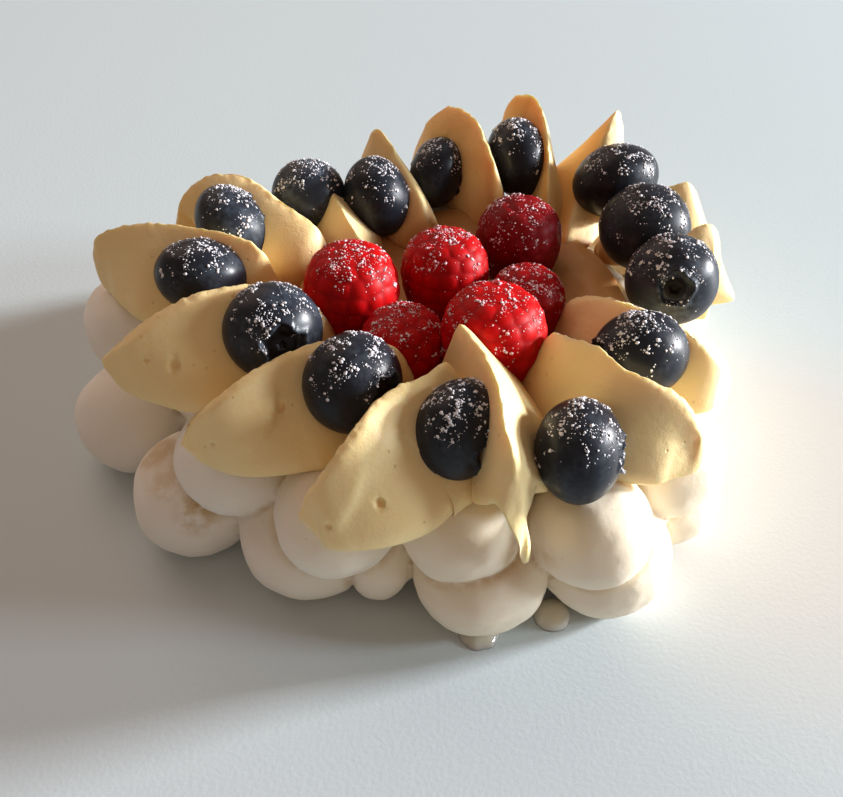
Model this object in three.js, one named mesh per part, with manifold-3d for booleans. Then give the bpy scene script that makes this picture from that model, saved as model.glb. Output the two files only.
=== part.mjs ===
// A pavlova: a two-tiered piped meringue base, a ring of piped cream petals with a blueberry in
// each valley, and raspberries standing in the middle. Millimetres, +Z up, resting on z = 0.
import * as THREE from "three";
import { mergeVertices } from "three/addons/utils/BufferGeometryUtils.js";
import Module from "manifold-3d";

// Driving dimensions
const gap = 0.35; // left between pieces that touch
const hollowMargin = 0.7; // wider all round than the berry, as its facets cut inside its round
const ringCentre = [10.9, 1.7]; // middle of the berry ring, from the middle of the base
const lowerTier = { height: 8.6, halfHeight: 10.2 };
const upperTier = { height: 19.4, halfHeight: 9.2 };
const meringueTop = 28.1;
const coreRadius = 38;
const coreStretch = 1.15; // the core is this much longer along X
const coreMiddle = [-10, -1, 0];
const wellRadius = 30.5;
const wellFloor = 22.2;
const petalFoot = 28.5;
const petalEndHeight = 2; // at the very inner end of a petal
const raspberryHeight = 1.02; // for each unit of width
const drupeletRise = 0.5;
const crownDepth = 1;
const crownStar = 0.3; // how far the crown's points stand out, for each unit of its half width
const beadRise = 0.7; // for each unit of half width
const wide = 200; // past the whole part on every side
const tall = 60;

// Shares and powers that give each form its curve
const blobShape = { fullHalfWidth: 10, leastHeight: 0.4, fullness: 0.86 };
const petalShape = {
  widestPower: 0.8, // under 1 moves the widest place towards the tip
  fullness: 0.6,
  taper: 0.4, // how much narrower the inner end is
  footRiseEnd: 0.3, // where the foot, coming up or down from the tip, is level
  endRounding: 0.18,
  shoulder: 0.16, // of the height, where the flank turns under
  crestPower: 1.1, // over 1 draws the crest up to an edge
  crestShare: 0.8,
  spread: 1.5,
};
const berryShape = { crownReach: 0.25, crownPower: 1.15 };
const raspberryShape = { widestPower: 0.92, fullness: 0.72 };

// Facets: round each form, and along it
const blobFacets = [9, 6];
const petalFacets = [10, 8];
const blueberryFacets = [10, 8];
const raspberryFacets = [18, 10];
const fruitCutFacets = [10, 7];
const beadFacets = [10, 6];

const colours = {
  meringue: "#f4efe6",
  cream: "#eed9a0",
  blueberry: "#20242f",
  raspberry: "#a50e14",
  syrup: "#e6dcbf",
};

// Piped blobs of each tier: place and half width, seen from above, from the ring's middle
const lowerBlobs = [
  [-62.5, -9, 11],
  [-47, -28, 11.6],
  [-26, -36.5, 12.4],
  [-14.5, -43, 5.8],
  [2.6, -44.4, 11.4],
  [23.4, -41, 11.3],
  [35.2, -26.8, 11],
  [38.4, -6, 11.2],
  [38.5, 14, 11],
  [31.5, 31, 11.2],
  [14, 40, 11],
  [-8, 42.5, 11.4],
  [-30, 39, 11.2],
  [-48, 28.5, 11.2],
  [-59.5, 11, 10.6],
];
const upperBlobs = [
  [-47, -7, 9.8],
  [-38, -29, 11],
  [-20.7, -42.2, 10.3],
  [-0.9, -43.6, 9.9],
  [19.6, -44.2, 10],
  [33.8, -29.8, 10.2],
  [39, -10, 10.2],
  [39.4, 9, 10.2],
  [34, 26.5, 10.2],
  [18, 36.5, 10],
  [-2.5, 39, 10.4],
  [-23.5, 36, 10.2],
  [-43, 26, 10.4],
  [-63, 6.6, 10.5],
];

// Cream petals: outer tip, highest point of the crest, inner end, and half the stroke's width
const petals = [
  { tip: [-69, 9.2, 35.5], crest: [-47.5, 2.5, 44], end: [-31.5, -4.5, 36], swell: 13 },
  { tip: [-61.5, -20, 33], crest: [-42, -14.6, 44], end: [-23, -13, 36], swell: 15.5 },
  { tip: [-43, -40.5, 33], crest: [-31.5, -33.3, 44], end: [-10, -25.5, 36], swell: 13 },
  { tip: [-24, -54, 33], crest: [-14.5, -44, 45], end: [-2.5, -30.5, 40], swell: 12.5 },
  { tip: [8.4, -53.5, 24], crest: [4.6, -42, 46], end: [-3.2, -21.5, 45.5], swell: 6 },
  { tip: [36, -37.5, 32], crest: [23.5, -35.5, 44.5], end: [11, -20.5, 38.5], swell: 12 },
  { tip: [42.2, -23.5, 33], crest: [32, -19.5, 42.5], end: [17, -8.5, 37.5], swell: 11.5 },
  { tip: [49, 1, 34], crest: [42.5, 4.5, 45], end: [22, 1, 37], swell: 9.5 },
  { tip: [47, 22, 35], crest: [41.5, 18.5, 44.5], end: [21, 10, 37], swell: 10 },
  { tip: [37, 45, 38], crest: [31.5, 38, 48.1], end: [19, 14, 35], swell: 12.5 },
  { tip: [15, 52, 39], crest: [17, 43, 48.8], end: [18, 22, 36], swell: 11 },
  { tip: [-3, 49, 38], crest: [0, 41.5, 47.5], end: [9.5, 25, 37], swell: 12 },
  { tip: [-19, 45, 36], crest: [-14.5, 36.5, 44.5], end: [-6, 18.5, 36], swell: 10 },
  { tip: [-34, 41, 32], crest: [-24, 26, 39.5], end: [-15, 9, 34], swell: 9.5 },
  { tip: [-54.5, 17, 36], crest: [-43.5, 20.5, 44], end: [-25, 8.5, 37], swell: 12.5 },
];

// Blueberries: middle, width, length along the crown's axis for each unit of width, crown's way
const blueberries = [
  { at: [-42.8, 14.6, 37], width: 16.6, length: 0.78, crown: [0.42, 0.63, 0.65] },
  { at: [-46.2, -2, 37], width: 16.6, length: 0.8, crown: [-0.1, -0.66, -0.75] },
  { at: [-31.9, -17.3, 36.9], width: 16.7, length: 0.9, crown: [0.1, -0.93, -0.35] },
  { at: [-17.8, -31, 38], width: 16.2, length: 0.92, crown: [0.7, -0.5, -0.5] },
  { at: [-1.2, -40.2, 37.2], width: 16.6, length: 0.8, crown: [0.94, -0.24, -0.25] },
  { at: [15.4, -43.9, 36.6], width: 16.3, length: 0.83, crown: [0.9, 0.3, -0.1] },
  { at: [27.9, -24, 38], width: 13.8, length: 1.13, crown: [-0.9, 0.1, -0.4] },
  { at: [36.6, -4.5, 38], width: 16.1, length: 0.92, crown: [0.29, -0.84, 0.47] },
  { at: [34.6, 11.7, 38], width: 17, length: 0.86, crown: [0.2, 0.4, -0.9] },
  { at: [31.5, 28, 38.2], width: 17.2, length: 0.82, crown: [0.3, -0.6, -0.7] },
  { at: [12.6, 37.8, 38.2], width: 16.6, length: 0.77, crown: [0.95, 0.18, 0.2] },
  { at: [-3.8, 35.2, 36.6], width: 14.6, length: 0.76, crown: [0.95, -0.2, -0.2] },
  { at: [-15.9, 25.2, 36.2], width: 16, length: 0.81, crown: [-0.94, -0.2, -0.3] },
  { at: [-29.6, 25.6, 36.1], width: 14.8, length: 0.94, crown: [-0.4, 0.5, -0.7] },
];

// Raspberries: foot, width, and how far each leans out of the upright
const raspberries = [
  { foot: [-20, -3.2, 25.4], width: 17.6, lean: [0.04, -0.06] },
  { foot: [-3.1, 2, 25.2], width: 16.6, lean: [0.02, 0.05] },
  { foot: [10.8, 12.8, 25], width: 16.8, lean: [0.06, 0.04] },
  { foot: [11.2, -4, 24], width: 14.6, lean: [0.05, 0] },
  { foot: [5, -18, 27], width: 17.2, lean: [0.02, -0.06] },
  { foot: [-9.9, -16.4, 24.8], width: 15.2, lean: [-0.04, -0.08] },
];

// Syrup that has wept out at the foot of the meringue: place and half width
const beads = [
  [2.4, -51.4, 3.6],
  [14.9, -48.2, 3.2],
];

const wasm = await Module();
wasm.setup();

const power = (base, exponent) => Math.max(0, base) ** exponent;

// A closed form wrapped from a sphere: place(t, side, up, angle) puts each of its points, with t
// running from pole to pole, and side and up the place round the section.
function wrap([around, along], place, start = 0) {
  const geometry = new THREE.SphereGeometry(1, around, along, start);
  const points = geometry.getAttribute("position");
  for (let i = 0; i < points.count; i++) {
    const p = new THREE.Vector3().fromBufferAttribute(points, i);
    const t = Math.acos(THREE.MathUtils.clamp(p.y, -1, 1)) / Math.PI;
    const reach = Math.hypot(p.x, p.z) || 1;
    const made = place(t, p.x / reach, p.z / reach, Math.atan2(p.z, p.x));
    points.setXYZ(i, made.x, made.y, made.z);
  }
  return geometry;
}

// A geometry as a solid that can be cut and joined.
function solid(geometry) {
  const bare = new THREE.BufferGeometry();
  bare.setAttribute("position", geometry.getAttribute("position"));
  bare.setIndex(geometry.index);
  const merged = mergeVertices(bare, 1e-3);
  const mesh = new wasm.Mesh({
    numProp: 3,
    vertProperties: merged.getAttribute("position").array,
    triVerts: new Uint32Array(merged.index.array),
  });
  return new wasm.Manifold(mesh);
}

// The largest body of a solid, as a geometry.
function geometryOf(made) {
  const bodies = made.decompose();
  bodies.sort((a, b) => b.volume() - a.volume());
  const mesh = bodies[0].getMesh();
  const geometry = new THREE.BufferGeometry();
  geometry.setAttribute("position", new THREE.BufferAttribute(mesh.vertProperties, 3));
  geometry.setIndex(new THREE.BufferAttribute(mesh.triVerts, 1));
  return geometry;
}

function joined(solids) {
  return solids.reduce((whole, next) => whole.add(next));
}

function disc(radius, low, high, facets = 32) {
  const geometry = new THREE.CylinderGeometry(radius, radius, high - low, facets);
  geometry.rotateX(Math.PI / 2);
  geometry.translate(0, 0, (low + high) / 2);
  return geometry;
}

// One piped blob: round from above, flatter below its waist, with a faint point on top.
function blob([x, y, halfWidth], tier, grow) {
  const share = Math.min(1, halfWidth / blobShape.fullHalfWidth);
  const halfHeight = tier.halfHeight * THREE.MathUtils.lerp(blobShape.leastHeight, 1, share) + grow;
  const geometry = wrap(blobFacets, (t, side, up) => {
    const waist = power(Math.sin(Math.PI * t), blobShape.fullness) * (halfWidth + grow);
    return new THREE.Vector3(side * waist, -up * waist, halfHeight * Math.cos(Math.PI * t));
  });
  geometry.rotateZ(Math.atan2(y, x));
  geometry.translate(x, y, tier.height);
  return solid(geometry);
}

// The whole meringue, grown by a margin where it is to cut what lies on it.
function meringue(grow = 0) {
  const blobs = [
    ...lowerBlobs.map((place) => blob(place, lowerTier, grow)),
    ...upperBlobs.map((place) => blob(place, upperTier, grow)),
  ];
  const core = disc(coreRadius + grow, 0, meringueTop + 1).scale(coreStretch, 1, 1);
  const whole = joined([...blobs, solid(core.translate(...coreMiddle))]);
  const well = solid(disc(wellRadius - grow, wellFloor + grow, tall));
  return whole.intersect(solid(disc(wide, 0, meringueTop + grow, 8))).subtract(well);
}

// The crest line of a petal, and the level walls that part it from its two neighbours.
function crestOf(petal) {
  const points = [petal.tip, petal.crest, petal.end].map((p) => new THREE.Vector3(...p));
  return new THREE.CatmullRomCurve3(points);
}

function wallBetween(petal, next) {
  const outer = new THREE.Vector2((petal.tip[0] + next.tip[0]) / 2, (petal.tip[1] + next.tip[1]) / 2);
  const inner = new THREE.Vector2((petal.end[0] + next.end[0]) / 2, (petal.end[1] + next.end[1]) / 2);
  const along = inner.clone().sub(outer).normalize();
  return { outer, normal: new THREE.Vector2(along.y, -along.x) };
}

// Pushes a point back over a wall; keep is +1 on the side its normal faces and -1 on the other.
function heldBy(point, wall, keep) {
  const reach = (point.x - wall.outer.x) * wall.normal.x + (point.y - wall.outer.y) * wall.normal.y;
  const short = Math.max(0, gap / 2 - keep * reach) * keep;
  point.x += wall.normal.x * short;
  point.y += wall.normal.y * short;
}

// One piped petal: a tent of cream, thin along its crest, that swells to its foot.
function petalForm(petal, before, after) {
  const crest = crestOf(petal);
  const walls = [wallBetween(before, petal), wallBetween(petal, after)];
  const shape = petalShape;
  return wrap(petalFacets, (t, side, up) => {
    const top = crest.getPoint(t);
    const run = crest.getTangent(t);
    const across = new THREE.Vector3(-run.y, run.x, 0).normalize();
    const bulge = power(Math.sin(Math.PI * t ** shape.widestPower), shape.fullness);
    const width = petal.swell * bulge * (1 - shape.taper * t);
    const fromEnd = Math.min(1, (1 - t) / shape.endRounding);
    const rounding = power(1 - (1 - fromEnd) ** 2, 0.5);
    const footRise = THREE.MathUtils.smoothstep(t, 0, shape.footRiseEnd);
    const foot = THREE.MathUtils.lerp(petal.tip[2], petalFoot, footRise);
    const height = THREE.MathUtils.lerp(petalEndHeight, top.z - foot, rounding);
    const share = up > 0 ? Math.abs(side) ** shape.spread : Math.abs(side);
    const edge = shape.crestShare * power(1 - share, shape.crestPower);
    const round = (1 - shape.crestShare) * power(1 - share * share, 0.5);
    const level = up > -0.01 ? THREE.MathUtils.lerp(shape.shoulder, 1, edge + round) : 0;
    const point = new THREE.Vector3(top.x, top.y, foot + height * level);
    point.addScaledVector(across, Math.sign(side) * share * width);
    heldBy(point, walls[0], 1);
    heldBy(point, walls[1], -1);
    return point;
  }, Math.PI / 2);
}

// One blueberry: slightly flattened, its pole sunk inside a crown with five points.
function blueberry(berry) {
  const radius = berry.width / 2;
  const geometry = wrap(blueberryFacets, (t, side, up, angle) => {
    const nearCrown = 1 - THREE.MathUtils.smoothstep(t, 0, berryShape.crownReach);
    const polar = Math.PI * t ** berryShape.crownPower;
    const star = 1 + crownStar * nearCrown * Math.cos(5 * angle);
    const waist = radius * Math.sin(polar) * star;
    const sunk = t === 0 ? crownDepth : 0;
    return new THREE.Vector3(side * waist, radius * berry.length * Math.cos(polar) - sunk, up * waist);
  });
  return turnedBerry(geometry, berry);
}

function turnedBerry(geometry, berry) {
  const crownAxis = new THREE.Vector3(...berry.crown).normalize();
  const turn = new THREE.Quaternion().setFromUnitVectors(new THREE.Vector3(0, 1, 0), crownAxis);
  geometry.applyQuaternion(turn);
  return geometry.translate(...berry.at);
}

// The hollow that a blueberry presses into the cream, a gap wider than the berry.
function blueberryHollow(berry) {
  const radius = berry.width / 2 + hollowMargin;
  const geometry = new THREE.SphereGeometry(radius, ...fruitCutFacets);
  geometry.scale(1, (berry.length * berry.width / 2 + hollowMargin) / radius, 1);
  return turnedBerry(geometry, berry);
}

// One raspberry: a blunt dome on a level foot, with a drupelet at every other facet corner.
function raspberry(berry) {
  const [around, along] = raspberryFacets;
  const geometry = wrap(raspberryFacets, (t, side, up, angle) => {
    const ring = Math.round(t * along);
    const column = Math.round((angle / (2 * Math.PI)) * around);
    const drupelet = (ring + column) % 2 === 0 ? drupeletRise : 0;
    const waist = (berry.width / 2 - drupeletRise) * raspberryProfile(t) + drupelet * Math.sin(Math.PI * t);
    const height = raspberryHeight * berry.width * (0.5 + 0.5 * Math.cos(Math.PI * t));
    return new THREE.Vector3(side * waist, -up * waist, height);
  });
  return leaningBerry(geometry, berry);
}

function raspberryProfile(t) {
  return power(Math.sin(Math.PI * t ** raspberryShape.widestPower), raspberryShape.fullness);
}

function leaningBerry(geometry, berry) {
  const [leanX, leanY] = berry.lean;
  geometry.rotateY(leanX);
  geometry.rotateX(-leanY);
  return geometry.translate(...berry.foot);
}

// The hollow that a raspberry presses into the cream.
function raspberryHollow(berry) {
  const geometry = wrap(fruitCutFacets, (t, side, up) => {
    const waist = (berry.width / 2 + hollowMargin) * raspberryProfile(t);
    const middle = raspberryHeight * berry.width / 2;
    const height = middle + (middle + hollowMargin) * Math.cos(Math.PI * t);
    return new THREE.Vector3(side * waist, -up * waist, height);
  });
  return leaningBerry(geometry, berry);
}

// The round bed of cream inside the ring, hollowed where the raspberries stand in it.
function bed(grow = 0) {
  return solid(disc(wellRadius - gap + grow, wellFloor + gap - grow, meringueTop + grow));
}

// One bead of syrup, flat on the table.
function bead([x, y, halfWidth]) {
  const geometry = wrap(beadFacets, (t, side, up) => {
    const waist = halfWidth * Math.sin(Math.PI * t);
    return new THREE.Vector3(side * waist, -up * waist, beadRise * halfWidth * Math.cos(Math.PI * t));
  });
  geometry.translate(x, y, 0);
  return solid(geometry).subtract(solid(disc(wide, -tall, 0, 8)));
}

const group = new THREE.Group();

function addMesh(name, geometry, colour, roughness) {
  const material = new THREE.MeshStandardMaterial({ color: colour, roughness, metalness: 0 });
  const mesh = new THREE.Mesh(geometry, material);
  mesh.name = name;
  group.add(mesh);
}

const numbered = (name, i) => `${name}_${String(i + 1).padStart(2, "0")}`;
const grownMeringue = meringue(gap);
const fruitCut = joined([
  ...blueberries.map((berry) => solid(blueberryHollow(berry))),
  ...raspberries.map((berry) => solid(raspberryHollow(berry))),
]);
const underPetals = joined([grownMeringue, bed(gap), fruitCut]);

addMesh("meringue", geometryOf(meringue()), colours.meringue, 0.85);
addMesh("cream_bed", geometryOf(bed().subtract(fruitCut)), colours.cream, 0.5);
petals.forEach((petal, i) => {
  const before = petals[(i + petals.length - 1) % petals.length];
  const after = petals[(i + 1) % petals.length];
  const form = solid(petalForm(petal, before, after));
  addMesh(numbered("cream_petal", i), geometryOf(form.subtract(underPetals)), colours.cream, 0.5);
});
blueberries.forEach((berry, i) => {
  addMesh(numbered("blueberry", i), blueberry(berry), colours.blueberry, 0.35);
});
raspberries.forEach((berry, i) => {
  addMesh(numbered("raspberry", i), raspberry(berry), colours.raspberry, 0.45);
});
beads.forEach((place, i) => {
  const form = bead(place).subtract(grownMeringue);
  addMesh(numbered("syrup_bead", i), geometryOf(form), colours.syrup, 0.15);
});

group.position.set(ringCentre[0], ringCentre[1], 0);

export default group;
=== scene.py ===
import math
import random

import bmesh
import bpy
from mathutils import Euler, Matrix, Vector, bvhtree, kdtree, noise


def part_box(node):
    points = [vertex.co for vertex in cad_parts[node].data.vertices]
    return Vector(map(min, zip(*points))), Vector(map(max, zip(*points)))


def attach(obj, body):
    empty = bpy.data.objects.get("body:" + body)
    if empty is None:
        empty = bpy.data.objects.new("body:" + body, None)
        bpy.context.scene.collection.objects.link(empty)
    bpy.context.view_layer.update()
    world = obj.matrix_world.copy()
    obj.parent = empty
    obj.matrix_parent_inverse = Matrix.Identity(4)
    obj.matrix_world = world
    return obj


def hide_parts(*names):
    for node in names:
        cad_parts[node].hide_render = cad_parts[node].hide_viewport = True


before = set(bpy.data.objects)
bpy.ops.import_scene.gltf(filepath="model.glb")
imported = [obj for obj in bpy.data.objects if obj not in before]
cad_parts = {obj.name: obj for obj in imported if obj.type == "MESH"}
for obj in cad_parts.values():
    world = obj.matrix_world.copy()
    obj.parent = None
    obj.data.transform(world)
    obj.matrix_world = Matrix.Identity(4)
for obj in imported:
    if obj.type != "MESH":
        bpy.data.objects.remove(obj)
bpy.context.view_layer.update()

# A pavlova: piped meringue, cream petals with blueberries between them, raspberries and icing sugar.
# Shapes are worked out in millimetres from the middle of the cream bed, with the table at height 0, and
# are moved to the frame at the end.
mm = 0.001
bedLow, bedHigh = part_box("cream_bed")
ringCentre = (bedLow + bedHigh) / 2
ringCentre.z = 0.0
toFrame = Matrix.Translation(ringCentre) @ Matrix.Scale(mm, 4)
mixFactor, mixFirst, mixSecond, mixResult = 0, 6, 7, 2  # the sockets of a node that mixes colours


def power(base, exponent):
    return max(0.0, base) ** exponent


def smooth(value, low, high):
    share = min(1.0, max(0.0, (value - low) / (high - low)))
    return share * share * (3 - 2 * share)


def mix(first, second, share):
    return first + (second - first) * share


def ripple(point, size, seed=0.0):  # noise from -1 to 1, with lumps of about that size in mm
    return noise.noise(Vector(point) / size + Vector((seed, 3.7 * seed, -seed)))


def curvePoint(points, share):  # a smooth curve through the points, at a share of its way
    last = len(points) - 1
    at = min(last - 1e-6, max(0.0, share * last))
    i = int(at)
    t = at - i
    before = points[max(0, i - 1)] if i else points[0] * 2 - points[1]
    after = points[i + 2] if i + 2 <= last else points[last] * 2 - points[last - 1]
    here, there = points[i], points[i + 1]
    return 0.5 * (2 * here + (there - before) * t + (2 * before - 5 * here + 4 * there - after) * t ** 2
                  + (3 * here - before - 3 * there + after) * t ** 3)


def wrapped(around, along, place):  # a sphere whose points are put elsewhere, pole to pole along t
    shape = bmesh.new()
    bmesh.ops.create_uvsphere(shape, u_segments=around, v_segments=along, radius=1)
    for vertex in shape.verts:
        x, y, z = vertex.co
        reach = math.hypot(x, y) or 1.0
        t = math.acos(max(-1.0, min(1.0, z))) / math.pi
        vertex.co = place(t, x / reach, y / reach, math.atan2(y, x))
    return shape


def putPiece(shape, name, paint, nodes):  # a finished shape becomes a piece of the object
    bmesh.ops.transform(shape, matrix=toFrame, verts=shape.verts)
    bmesh.ops.recalc_face_normals(shape, faces=shape.faces)
    mesh = bpy.data.meshes.new(name)
    shape.to_mesh(mesh)
    shape.free()
    return putMesh(mesh, name, paint, nodes)


def putMesh(mesh, name, paint, nodes):
    mesh.polygons.foreach_set("use_smooth", [True] * len(mesh.polygons))
    mesh.materials.append(paint)
    piece = bpy.data.objects.new(name, mesh)
    bpy.context.scene.collection.objects.link(piece)
    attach(piece, "root")
    if nodes:
        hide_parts(*nodes)
    return piece


def soften(shape, verts, passes):
    for _ in range(passes):
        bmesh.ops.smooth_vert(shape, verts=verts, factor=0.5, use_axis_x=True, use_axis_y=True,
                              use_axis_z=True)


def markPoints(mesh, name, values):  # a number on each point, for a material to read
    layer = mesh.attributes.new(name, "FLOAT", "POINT")
    layer.data.foreach_set("value", values)


def markLayer(shape, name, values):  # the same on a shape that isn't a piece yet
    layer = shape.verts.layers.float.new(name)
    for vertex, value in zip(shape.verts, values):
        vertex[layer] = value


class Tone:  # one socket, so that sums on it can be written out
    def __init__(self, paint, socket):
        self.paint = paint
        self.socket = socket

    def sum(self, operation, first, second):
        return self.paint.node("ShaderNodeMath", {"operation": operation}, {0: first, 1: second})

    def __add__(self, other):
        return self.sum("ADD", self, other)

    def __radd__(self, other):
        return self.sum("ADD", other, self)

    def __sub__(self, other):
        return self.sum("SUBTRACT", self, other)

    def __rsub__(self, other):
        return self.sum("SUBTRACT", other, self)

    def __mul__(self, other):
        return self.sum("MULTIPLY", self, other)

    def __rmul__(self, other):
        return self.sum("MULTIPLY", other, self)


class Paint:  # one material and its nodes
    def __init__(self, name):
        self.material = bpy.data.materials.new(name)
        self.material.use_nodes = True
        self.tree = self.material.node_tree
        self.shader = self.tree.nodes["Principled BSDF"]
        self.place = self.node("ShaderNodeTexCoord", {}, {}, "Object")

    def node(self, kind, settings, inputs, output=0):
        made = self.tree.nodes.new(kind)
        for key, value in settings.items():
            setattr(made, key, value)
        for key, value in inputs.items():
            self.feed(made.inputs[key], value)
        return Tone(self, made.outputs[output])

    def feed(self, socket, value):
        if isinstance(value, Tone):
            self.tree.links.new(value.socket, socket)
        else:
            socket.default_value = value

    def noise(self, sizeMm, detail):
        return self.node("ShaderNodeTexNoise", {},
                         {"Vector": self.place, "Scale": 1 / (sizeMm * mm), "Detail": detail})

    def cells(self, sizeMm):
        return self.node("ShaderNodeTexVoronoi", {}, {"Vector": self.place, "Scale": 1 / (sizeMm * mm)})

    def step(self, tone, low, high):  # 0 below low, 1 above high, smooth between
        return self.node("ShaderNodeMapRange", {"interpolation_type": "SMOOTHSTEP"},
                         {"Value": tone, "From Min": low, "From Max": high})

    def marks(self, name):
        return self.node("ShaderNodeAttribute", {"attribute_name": name}, {}, "Fac")

    def blend(self, factor, first, second):
        return self.node("ShaderNodeMix", {"data_type": "RGBA"},
                         {mixFactor: factor, mixFirst: first, mixSecond: second}, mixResult)

    def bump(self, height, strength, distanceMm):
        return self.node("ShaderNodeBump", {}, {"Height": height, "Strength": strength,
                                                "Distance": distanceMm * mm})

    def set(self, **sockets):
        for key, value in sockets.items():
            name = {"ior_level": "Specular IOR Level"}.get(key, key.replace("_", " ").title())
            self.feed(self.shader.inputs[name], value)


def colour(red, green, blue):
    return (red, green, blue, 1.0)


meringueLook = {
    "lower": {"height": 8.6, "halfHeight": 10.2},
    "upper": {"height": 19.4, "halfHeight": 9.2},
    "top": 28.1,
    "core": {"middle": (-10.0, -1.0), "radii": (43.7, 38.0), "facets": 96},
    "well": {"radius": 30.5, "floor": 22.2},
    "blobNet": (48, 32),
    "blobFullness": 0.86,  # under 1 makes a blob fuller than a ball
    "blobUneven": 0.035,
    "smallBlob": {"halfWidth": 10, "height": 0.4},  # narrower blobs are lower, down to this share
    "grain": 0.71,  # size of the net that fuses the blobs
    "softPasses": 2,
    "crease": 1.6,  # how wide a seam between blobs is grooved and darkened, partly tan stain and partly painted shade
    "seamDepth": 1.1,
    "lumps": 0.35,
    "fineLumps": 0.12,
    "topSlack": 0.2,  # how far a lump may stand over the top
    "stains": [((-53, -26.5, 17), 6), ((-49.5, -32, 14.5), 6), ((-45, -36, 13), 6), ((8.9, -52, 19.5), 6),
               ((-52.5, -36, 9), 2.5)],
}
lowerBlobs = [
    (-62.5, -9, 11), (-47, -28, 11.6), (-26, -36.5, 12.4), (-14.5, -43, 5.8), (2.6, -44.4, 11.4),
    (23.4, -41, 11.3), (35.2, -26.8, 11), (38.4, -6, 11.2), (38.5, 14, 11), (31.5, 31, 11.2),
    (14, 40, 11), (-8, 42.5, 11.4), (-30, 39, 11.2), (-48, 28.5, 11.2), (-59.5, 11, 10.6),
]
upperBlobs = [
    (-47, -7, 9.8), (-38, -29, 11), (-20.7, -42.2, 10.3), (-0.9, -43.6, 9.9), (19.6, -44.2, 10),
    (33.8, -29.8, 10.2), (39, -10, 10.2), (39.4, 9, 10.2), (34, 26.5, 10.2), (18, 36.5, 10),
    (-2.5, 39, 10.4), (-23.5, 36, 10.2), (-43, 26, 10.4), (-63, 6.6, 10.5),
]


def meringuePaint():
    paint = Paint("meringue")
    stainAndSeamShade = paint.marks("stainAndSeamShade")
    patches = paint.step(paint.noise(2.2, 3.0), 0.3, 0.55)
    pores = paint.step(paint.cells(0.9), 0.42, 0.12)
    # Painted warm light: yellower towards the right-hand side, which the key lamp lights.
    across = paint.step(paint.node("ShaderNodeSeparateXYZ", {}, {0: paint.place}, "X"), -0.04, 0.01)
    pale = paint.blend(paint.noise(14.0, 2.0), colour(0.93, 0.90, 0.83), colour(0.94, 0.89, 0.78))
    warmLitRight = paint.blend(across, pale, colour(0.94, 0.83, 0.65))
    specks = paint.step(paint.cells(2.6), 0.075, 0.03)
    dotted = paint.blend(specks * 0.45, warmLitRight, colour(0.62, 0.45, 0.24))
    # Tan stain at the listed spots, and painted shade in the seams between blobs.
    stainedAndShaded = paint.blend(stainAndSeamShade * patches * 0.95, dotted, colour(0.60, 0.40, 0.13))
    paint.set(
        base_color=stainedAndShaded,
        roughness=0.62,
        ior_level=0.35,
        subsurface_weight=0.35,
        subsurface_radius=(0.9, 0.7, 0.5),
        subsurface_scale=3 * mm,
        normal=paint.bump(paint.noise(0.7, 4.0) * 0.4 + paint.noise(2.6, 3.0) - stainAndSeamShade * patches * pores * 1.5,
                          0.35, 0.25),
    )
    return paint.material


def blobSpan(halfWidth, tier):
    small = meringueLook["smallBlob"]
    return tier["halfHeight"] * mix(small["height"], 1.0, min(1.0, halfWidth / small["halfWidth"]))


def blobShape(place, tier, seed):
    look = meringueLook
    x, y, halfWidth = place
    halfHeight = blobSpan(halfWidth, tier)

    def at(t, side, up, angle):
        waist = power(math.sin(math.pi * t), look["blobFullness"]) * halfWidth
        way = Vector((side * waist, up * waist, halfHeight * math.cos(math.pi * t)))
        return way * (1 + look["blobUneven"] * ripple(way, 9.0, seed)) + Vector((x, y, tier["height"]))
    return wrapped(*look["blobNet"], at)


def coreShape():
    look = meringueLook
    middle, radii, well = Vector(look["core"]["middle"]), look["core"]["radii"], look["well"]
    shape = bmesh.new()
    ring = bmesh.ops.create_circle(shape, segments=look["core"]["facets"], radius=1, cap_ends=True)["verts"]
    for vertex in ring:
        vertex.co = Vector((middle.x + vertex.co.x * radii[0], middle.y + vertex.co.y * radii[1], 0))

    top = bmesh.ops.extrude_face_region(shape, geom=list(shape.faces))["geom"]
    lid = [vertex for vertex in top if isinstance(vertex, bmesh.types.BMVert)]
    for vertex in lid:
        vertex.co.z = look["top"]
    inner = [face for face in top if isinstance(face, bmesh.types.BMFace)]
    rim = bmesh.ops.extrude_face_region(shape, geom=inner)["geom"]
    bmesh.ops.delete(shape, geom=inner, context="FACES_ONLY")
    edge = [vertex for vertex in rim if isinstance(vertex, bmesh.types.BMVert)]
    for vertex in edge:
        way = Vector((vertex.co.x, vertex.co.y))
        vertex.co.xy = way.normalized() * well["radius"]
    inner = [face for face in rim if isinstance(face, bmesh.types.BMFace)]
    floor = bmesh.ops.extrude_face_region(shape, geom=inner)["geom"]
    bmesh.ops.delete(shape, geom=inner, context="FACES_ONLY")
    for vertex in floor:
        if isinstance(vertex, bmesh.types.BMVert):
            vertex.co.z = well["floor"]
    return shape


def fused(shape, grain):  # overlapping forms as one skin
    mesh = bpy.data.meshes.new("forms")
    shape.to_mesh(mesh)
    shape.free()
    helper = bpy.data.objects.new("forms", mesh)
    bpy.context.scene.collection.objects.link(helper)
    net = helper.modifiers.new("net", "REMESH")
    net.mode = "VOXEL"
    net.voxel_size = grain
    skin = bmesh.new()
    skin.from_object(helper, bpy.context.evaluated_depsgraph_get())
    bpy.data.objects.remove(helper)
    bpy.data.meshes.remove(mesh)
    return skin


def joinShapes(shapes):
    whole = bmesh.new()
    for shape in shapes:
        mesh = bpy.data.meshes.new("part")
        bmesh.ops.recalc_face_normals(shape, faces=shape.faces)
        shape.to_mesh(mesh)
        shape.free()
        whole.from_mesh(mesh)
        bpy.data.meshes.remove(mesh)
    return whole


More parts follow.
